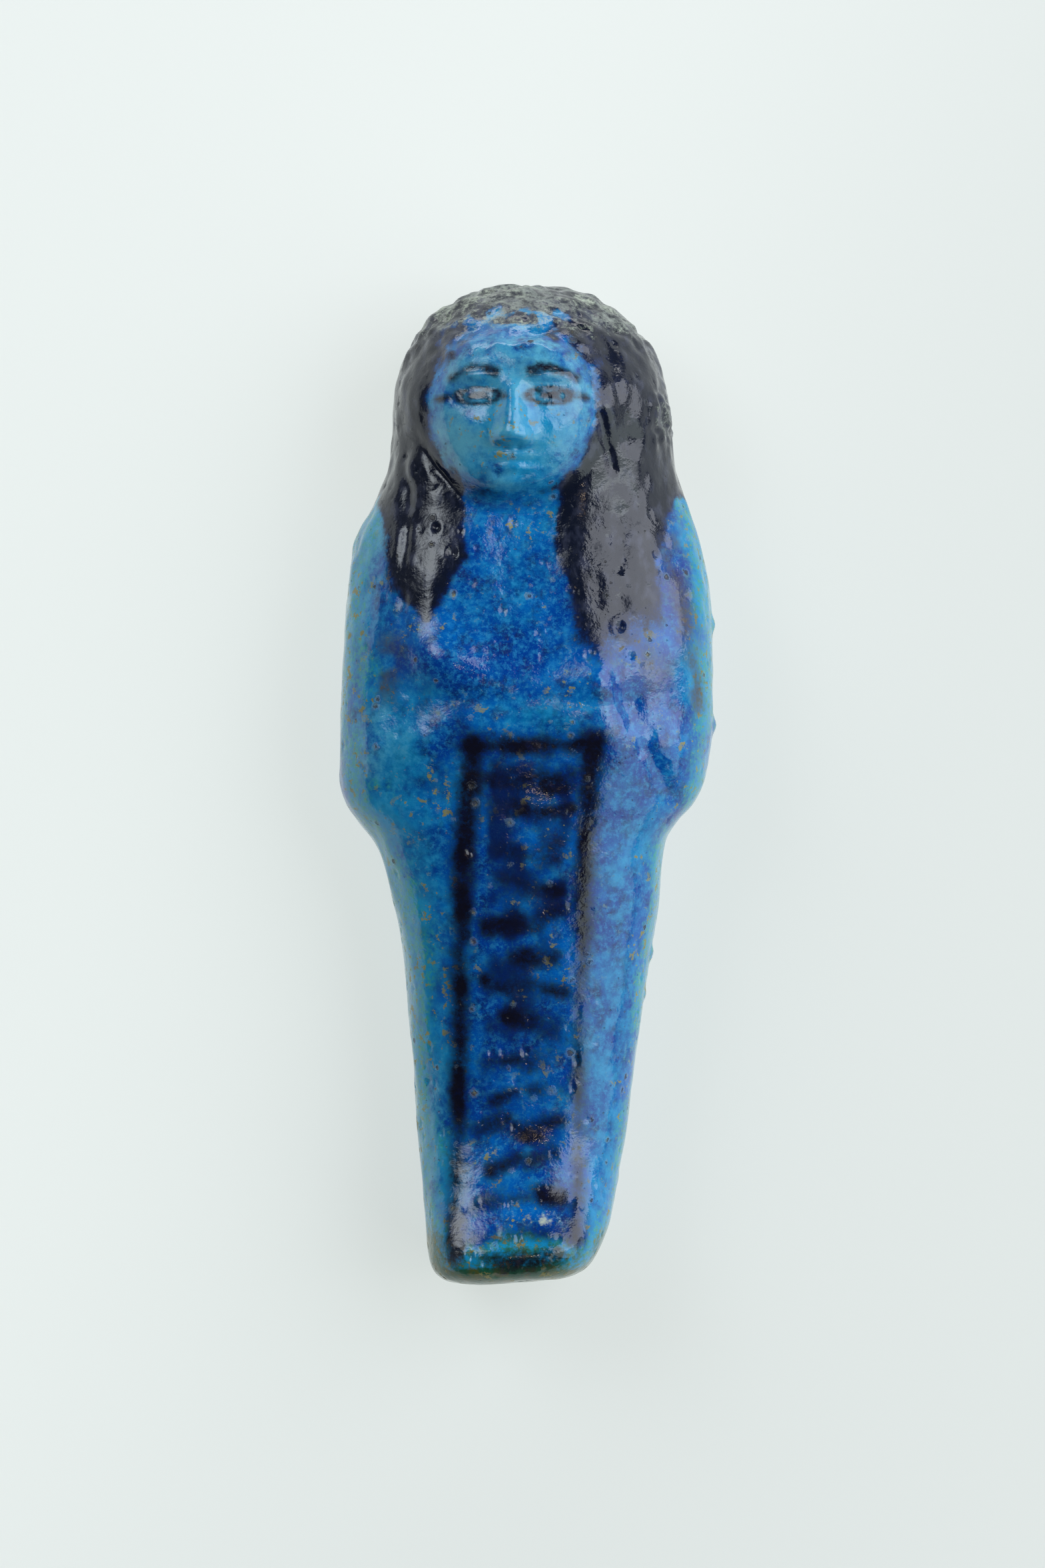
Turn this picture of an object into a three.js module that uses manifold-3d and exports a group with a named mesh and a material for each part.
// A small mummiform servant figure in blue glazed ware, cast in one piece and lying on its back.
// Millimetres. +Y runs from the feet to the head, +Z from the back to the face,
// and +X to the figure's own left. The origin is on the resting plane, under the middle.
import * as THREE from "three";
import { mergeVertices } from "three/addons/utils/BufferGeometryUtils.js";
import Module from "manifold-3d";

const wasm = await Module();
wasm.setup();

// Driving sizes
const LENGTH = 110; // sole to crown
const WIDTH = 41.6; // across the elbows
const DEPTH = 27; // resting plane to the tip of the nose
const HALF = WIDTH / 2;

// Places along the figure are shares of LENGTH from the sole, and places across it are shares
// of HALF from the middle line, both as the carver's own proportions.

// Widest line of the body on the figure's right and left: [place, right, left]
const OUTLINE = [
  [0.0, 0.52, 0.35],
  [0.06, 0.54, 0.45],
  [0.1, 0.565, 0.488],
  [0.16, 0.59, 0.548],
  [0.24, 0.615, 0.601],
  [0.32, 0.65, 0.657],
  [0.38, 0.71, 0.707],
  [0.42, 0.76, 0.728],
  [0.44, 0.806, 0.746],
  [0.46, 0.887, 0.813],
  [0.48, 0.961, 0.905],
  [0.505, 0.993, 0.962],
  [0.56, 0.995, 0.995],
  [0.64, 0.972, 0.993],
  [0.68, 0.958, 0.986],
  [0.74, 0.92, 0.936],
  [0.78, 0.82, 0.859],
  [0.82, 0.739, 0.795],
  [0.86, 0.712, 0.77],
  [0.93, 0.715, 0.755],
  [1.0, 0.728, 0.728],
];

// Height of the front along the middle line, as shares of DEPTH: [place, height]
const PROFILE = [
  [0.0, 0.735],
  [0.03, 0.745],
  [0.06, 0.7],
  [0.1, 0.635],
  [0.15, 0.605],
  [0.24, 0.635],
  [0.36, 0.7],
  [0.45, 0.755],
  [0.54, 0.79],
  [0.62, 0.795],
  [0.7, 0.75],
  [0.77, 0.705],
  [0.83, 0.735],
  [0.9, 0.77],
  [1.0, 0.78],
];

// Squareness of the front of each section: 2 is an ellipse, more is flatter with fuller corners
const SQUARENESS = [
  [0.0, 3.0],
  [0.1, 2.8],
  [0.35, 2.7],
  [0.5, 2.5],
  [0.7, 2.4],
  [0.85, 2.15],
  [1.0, 2.1],
];
const BACK_SQUARENESS = 2.5;
const SIDE_LINE = 0.43; // height of the widest line, as a share of the front's height

// How far the rounded back would sink below the resting plane before it was pressed flat
const BACK_PRESSED = [
  [0.0, 0.5],
  [0.08, 0.8],
  [0.4, 1.0],
  [0.7, 1.0],
  [0.82, 0.35],
  [0.9, 0.6],
  [1.0, 0.6],
];

// Rounded ends
const CROWN_ROUND = 0.14; // length of the crown's dome, as a share of LENGTH
const CROWN_SQUARENESS = 2.3;
const SOLE_ROUND = 0.045; // the same for the rounded edge of the sole
const SOLE_SQUARENESS = 4.4;
const SOLE_SLANT = 0.05; // slope of the sole towards the figure's right

// Face: middle, half sizes and heights of its parts
const FACE = { across: -0.075, along: 0.866, halfWidth: 9.4, halfLength: 9.5 };
const FACE_RISE = 3.7;
const FACE_EDGE = 0.42; // width of the slope round the face, as a share of its half width
const NOSE_RISE = 2.6;
const BROW_RISE = 0.35;
const SOCKET_SINK = 0.8;
const EYE_RISE = 0.5;
const LIP_RISE = 0.75;
const CHIN_RISE = 0.7;
const CHEEK_RISE = 0.35;

// Wig: rim over the forehead and a lappet on each side of the chest
const WIG_COVERS = 1.3; // height of the wig from which it hides what lies under it
const RIM_RISE = 0.8;
const RIM_HALF_WIDTH = 1.5;
const LAPPET_EDGE = 2.6; // width of the slope at a lappet's edge
// Middle line of each lappet: [across, along, half width and height in millimetres]
const RIGHT_LAPPET = [
  [-0.66, 0.87, 4.0, 1.3],
  [-0.6, 0.78, 4.0, 1.2],
  [-0.57, 0.7, 3.8, 0.9],
  [-0.54, 0.64, 2.6, 0.3],
];
const LEFT_LAPPET = [
  [0.58, 0.87, 4.4, 1.3],
  [0.46, 0.78, 5.2, 0.9],
  [0.44, 0.7, 5.2, 0.5],
  [0.46, 0.63, 4.0, 0.2],
];

// Arms folded over the chest: a low ridge for each forearm, a fist at its end
const FOREARM_RISE = 0.7;
const FOREARM_HALF_WIDTH = 3.0;
const FIST_RISE = 0.8;
const FIST_HALF_WIDTH = 3.3;
const RIGHT_ELBOW = [-0.78, 0.53];
const LEFT_ELBOW = [0.8, 0.525];
const RIGHT_FIST = [0.41, 0.6];
const LEFT_FIST = [-0.49, 0.625];
const ARM_GROOVE = 0.6; // depth of the line between each arm and the body
const ARM_GROOVE_HALF_WIDTH = 1.4;

// Spacing of the mesh
const RING_PITCHES = [
  [SOLE_ROUND, 0.4, 2.8], // from, to, pitch in millimetres
  [0.4, 0.74, 1.4],
  [0.74, 0.965, 0.7],
];
const SOLE_RINGS = 7;
const CROWN_RINGS = 6;
const FRONT_POINTS = 42;
const BACK_POINTS = 10;
const MIDDLE_CROWDING = 0.38; // how much closer the front's points are at the middle line

// Curve through [place, value] pairs that is smooth and never overshoots between them
function smoothCurve(pairs) {
  const places = pairs.map((pair) => pair[0]);
  const values = pairs.map((pair) => pair[1]);
  const last = places.length - 1;
  const slopes = values
    .slice(1)
    .map((value, i) => (value - values[i]) / (places[i + 1] - places[i]));
  const tangents = values.map((_, i) => {
    if (i === 0 || i === last) return 0;
    const [before, after] = [slopes[i - 1], slopes[i]];
    return before * after <= 0 ? 0 : (2 * before * after) / (before + after);
  });
  return (place) => {
    const p = THREE.MathUtils.clamp(place, places[0], places[last]);
    let i = 0;
    while (i < last - 1 && p > places[i + 1]) i += 1;
    const span = places[i + 1] - places[i];
    const t = (p - places[i]) / span;
    const rise = t * t * (3 - 2 * t);
    return (
      values[i] * (1 - rise) +
      values[i + 1] * rise +
      span * tangents[i] * t * (1 - t) ** 2 -
      span * tangents[i + 1] * t * t * (1 - t)
    );
  };
}

const rightHalf = smoothCurve(OUTLINE.map(([at, right]) => [at, right * HALF]));
const leftHalf = smoothCurve(OUTLINE.map(([at, , left]) => [at, left * HALF]));
const frontHeight = smoothCurve(PROFILE.map(([at, share]) => [at, share * DEPTH]));
const squareness = smoothCurve(SQUARENESS);
const backPressed = smoothCurve(BACK_PRESSED);

// 1 inside, falling to 0 over the given width as the distance passes the edge
function inside(distance, edge, width) {
  return 1 - THREE.MathUtils.smoothstep(distance, edge - width / 2, edge + width / 2);
}

// Round mound of height 1, down to almost nothing at twice its half sizes
function mound(dx, dy, halfX, halfY) {
  return Math.exp(-((dx / halfX) ** 2 + (dy / halfY) ** 2));
}

// A place given in shares, as a point in millimetres
function point([across, along]) {
  return new THREE.Vector2(across * HALF, (along - 0.5) * LENGTH);
}

// Nearest place on a line of points to a point: its distance, and how far along each part it is
function nearestOnLine(line, at) {
  let best = { distance: Infinity };
  line.slice(1).forEach((end, i) => {
    const along = end.clone().sub(line[i]);
    const share = THREE.MathUtils.clamp(
      at.clone().sub(line[i]).dot(along) / along.lengthSq(),
      0,
      1,
    );
    const distance = line[i].clone().addScaledVector(along, share).distanceTo(at);
    if (distance < best.distance) best = { distance, part: i, share };
  });
  return best;
}

function lappetRelief(lappet, at) {
  const near = nearestOnLine(lappet.map(point), at);
  const [from, to] = [lappet[near.part], lappet[near.part + 1]];
  const [halfWidth, rise] = [2, 3].map((i) => THREE.MathUtils.lerp(from[i], to[i], near.share));
  return rise * inside(near.distance, halfWidth, LAPPET_EDGE);
}

// The two lappets and the rim of the wig that joins them over the forehead
function wigRelief(at, rho, up) {
  const rim = Math.exp(-((((rho - 1.09) * FACE.halfWidth) / RIM_HALF_WIDTH) ** 2));
  const rimShare = THREE.MathUtils.smoothstep(up, -0.5, 0.2);
  return (
    Math.max(lappetRelief(RIGHT_LAPPET, at), lappetRelief(LEFT_LAPPET, at)) +
    RIM_RISE * rim * rimShare
  );
}

// Nose, eyes, lips and chin in the usual thirds of a face: brow at +1/3, nose tip at -1/3.
// side and up run from -1 to 1 over the face.
function featureRelief(side, up) {
  const noseShare = THREE.MathUtils.clamp((0.36 - up) / 0.66, 0, 1);
  const noseEnd = THREE.MathUtils.smoothstep(up, -0.48, -0.24);
  const nose =
    NOSE_RISE *
    (0.25 + 0.75 * noseShare) *
    noseEnd *
    THREE.MathUtils.smoothstep(0.44 - up, 0, 0.2) *
    Math.exp(-((side / (0.12 + 0.09 * noseShare)) ** 2));
  let relief = nose + LIP_RISE * mound(side, up + 0.5, 0.26, 0.06);
  relief += LIP_RISE * 0.9 * mound(side, up + 0.62, 0.22, 0.06);
  relief += CHIN_RISE * mound(side, up + 0.84, 0.3, 0.13);
  for (const way of [-1, 1]) {
    const eye = side - way * 0.4;
    relief += BROW_RISE * mound(side - way * 0.42, up - 0.4, 0.3, 0.09);
    relief -= SOCKET_SINK * mound(eye, up - 0.18, 0.24, 0.15);
    relief += EYE_RISE * mound(eye, up - 0.17, 0.17, 0.08);
    relief += CHEEK_RISE * mound(side - way * 0.5, up + 0.2, 0.26, 0.26);
  }
  return relief;
}

// Egg-shaped distance from the face's middle: 1 on its edge
function faceDistance(side, up) {
  const taper = 1 - 0.16 * Math.max(0, -up) ** 1.5;
  return (Math.abs(side / taper) ** 2.2 + Math.abs(up) ** 2.2) ** (1 / 2.2);
}

function faceRelief(side, up, rho) {
  const dome = 1 - 0.3 * Math.min(rho, 1.1) ** 2;
  return inside(rho, 0.97, FACE_EDGE) * (FACE_RISE * dome + featureRelief(side, up));
}

// Low ridges of the folded forearms, their fists, and the line inside each upper arm
function armRelief(at) {
  const [rightElbow, leftElbow] = [point(RIGHT_ELBOW), point(LEFT_ELBOW)];
  const [rightFist, leftFist] = [point(RIGHT_FIST), point(LEFT_FIST)];
  const ridge = (from, to) =>
    Math.exp(-((nearestOnLine([from, to], at).distance / FOREARM_HALF_WIDTH) ** 2));
  const fist = (centre) =>
    mound(at.x - centre.x, at.y - centre.y, FIST_HALF_WIDTH, FIST_HALF_WIDTH);
  const groove = (elbow, armpit) =>
    Math.exp(-((nearestOnLine([elbow, armpit], at).distance / ARM_GROOVE_HALF_WIDTH) ** 2));
  return (
    FOREARM_RISE * Math.max(ridge(rightElbow, rightFist), ridge(leftElbow, leftFist)) +
    FIST_RISE * Math.max(fist(rightFist), fist(leftFist)) -
    ARM_GROOVE *
      Math.max(
        groove(point([-0.72, 0.5]), point([-0.66, 0.62])),
        groove(point([0.74, 0.49]), point([0.5, 0.62])),
      )
  );
}

// Height that the modelling adds to the plain body at a point of the front.
// The face hides what lies under it, and so does the wig.
function relief(x, y) {
  const at = new THREE.Vector2(x, y);
  const middle = point([FACE.across, FACE.along]);
  const side = (x - middle.x) / FACE.halfWidth;
  const up = (y - middle.y) / FACE.halfLength;
  const rho = faceDistance(side, up);
  const face = faceRelief(side, up, rho);
  const faceShare = inside(rho, 0.97, FACE_EDGE);
  const wig = wigRelief(at, rho, up);
  const bare = 1 - Math.min(wig / WIG_COVERS, 1);
  return face + (1 - faceShare) * (wig + bare * armRelief(at));
}

// Size of a section beside the widest one near it: it closes to a point at the sole and crown
function endScale(place) {
  const closing = (into, square) => (1 - THREE.MathUtils.clamp(into, 0, 1) ** square) ** (1 / square);
  return (
    closing(1 - place / SOLE_ROUND, SOLE_SQUARENESS) *
    closing((place - 1 + CROWN_ROUND) / CROWN_ROUND, CROWN_SQUARENESS)
  );
}

// Places of the rings from the sole to the crown, without the two end points
function ringPlaces() {
  const places = [];
  for (let i = 1; i <= SOLE_RINGS; i += 1) {
    const angle = (i / SOLE_RINGS) * (Math.PI / 2);
    places.push(SOLE_ROUND * (1 - Math.cos(angle) ** (2 / SOLE_SQUARENESS)));
  }
  for (const [from, to, pitch] of RING_PITCHES) {
    const count = Math.max(1, Math.round(((to - from) * LENGTH) / pitch));
    for (let i = 1; i <= count; i += 1) places.push(from + ((to - from) * i) / count);
  }
  const reached = (places.at(-1) - 1 + CROWN_ROUND) / CROWN_ROUND;
  const lastAngle = Math.acos(reached ** (CROWN_SQUARENESS / 2));
  for (let i = CROWN_RINGS; i >= 1; i -= 1) {
    const angle = (lastAngle * i) / (CROWN_RINGS + 1);
    places.push(1 - CROWN_ROUND * (1 - Math.cos(angle) ** (2 / CROWN_SQUARENESS)));
  }
  return places;
}

// Angles round a section, from the figure's left side over the front and back under it
function sectionAngles() {
  const angles = [];
  for (let i = 0; i < FRONT_POINTS; i += 1) {
    const t = (2 * i) / FRONT_POINTS - 1;
    const crowded = t * (1 - MIDDLE_CROWDING) + t ** 3 * MIDDLE_CROWDING;
    angles.push((Math.PI / 2) * (1 + crowded));
  }
  for (let i = 0; i < BACK_POINTS; i += 1) angles.push(Math.PI * (1 + i / BACK_POINTS));
  return angles;
}

function power(value, square) {
  return Math.sign(value) * Math.abs(value) ** (2 / square);
}

// The point of a section at an angle, with the modelling added on its front
function sectionPoint(place, angle) {
  const [right, left] = [rightHalf(place), leftHalf(place)];
  const top = frontHeight(place);
  const side = SIDE_LINE * top;
  const square = Math.sin(angle) > 0 ? squareness(place) : BACK_SQUARENESS;
  const scale = endScale(place);
  const reach = power(Math.cos(angle), square);
  const height = power(Math.sin(angle), square);
  const x = (left - right) / 2 + ((left + right) / 2) * scale * reach;
  const slant = SOLE_SLANT * x * (1 - THREE.MathUtils.smoothstep(place, 0, 0.12));
  const y = (place - 0.5) * LENGTH + slant;
  if (height <= 0) return [x, y, side + (side + backPressed(place)) * scale * height];
  const share =
    THREE.MathUtils.smoothstep(height, 0.1, 0.55) * THREE.MathUtils.smoothstep(scale, 0.2, 0.6);
  return [x, y, side + (top - side) * scale * height + relief(x, y) * share];
}

// The whole figure as one closed surface of rings, with a point at the sole and one at the crown
function bodyGeometry() {
  const places = ringPlaces();
  const angles = sectionAngles();
  const around = angles.length;
  const points = [[0, 1].map((end) => sectionPoint(end, 0))].flat();
  for (const place of places) for (const angle of angles) points.push(sectionPoint(place, angle));
  const at = (ring, i) => 2 + ring * around + (i % around);
  const index = [];
  for (let i = 0; i < around; i += 1) {
    index.push(0, at(0, i), at(0, i + 1));
    index.push(1, at(places.length - 1, i + 1), at(places.length - 1, i));
    for (let ring = 0; ring < places.length - 1; ring += 1) {
      const [a, b] = [at(ring, i), at(ring + 1, i)];
      const [c, d] = [at(ring + 1, i + 1), at(ring, i + 1)];
      index.push(a, b, c, a, c, d);
    }
  }
  const geometry = new THREE.BufferGeometry();
  geometry.setAttribute("position", new THREE.Float32BufferAttribute(points.flat(), 3));
  geometry.setIndex(index);
  return geometry;
}

function toSolid(geometry) {
  const bare = geometry.clone();
  bare.deleteAttribute("normal");
  bare.deleteAttribute("uv");
  const merged = mergeVertices(bare);
  return new wasm.Manifold(
    new wasm.Mesh({
      numProp: 3,
      vertProperties: merged.attributes.position.array,
      triVerts: new Uint32Array(merged.index.array),
    }),
  );
}

function toGeometry(solid) {
  const mesh = solid.getMesh();
  const geometry = new THREE.BufferGeometry();
  geometry.setAttribute("position", new THREE.BufferAttribute(mesh.vertProperties, 3));
  geometry.setIndex(new THREE.BufferAttribute(mesh.triVerts, 1));
  geometry.computeVertexNormals();
  return geometry;
}

// The figure with its back pressed flat where it rests, set over the origin at its driving sizes
function figureGeometry() {
  const below = new THREE.BoxGeometry(2 * WIDTH, 2 * LENGTH, DEPTH);
  below.translate(0, 0, -DEPTH / 2);
  const geometry = toGeometry(toSolid(bodyGeometry()).subtract(toSolid(below)));
  geometry.computeBoundingBox();
  const middle = geometry.boundingBox.getCenter(new THREE.Vector3());
  const size = geometry.boundingBox.getSize(new THREE.Vector3());
  geometry.translate(-middle.x, -middle.y, 0);
  return geometry.scale(WIDTH / size.x, LENGTH / size.y, DEPTH / size.z);
}

const blueGlaze = new THREE.MeshStandardMaterial({
  color: new THREE.Color(0.03, 0.3, 0.62),
  roughness: 0.2,
  metalness: 0,
});

const figure = new THREE.Mesh(figureGeometry(), blueGlaze);
figure.name = "ushabti";

const part = new THREE.Group();
part.add(figure);

export default part;
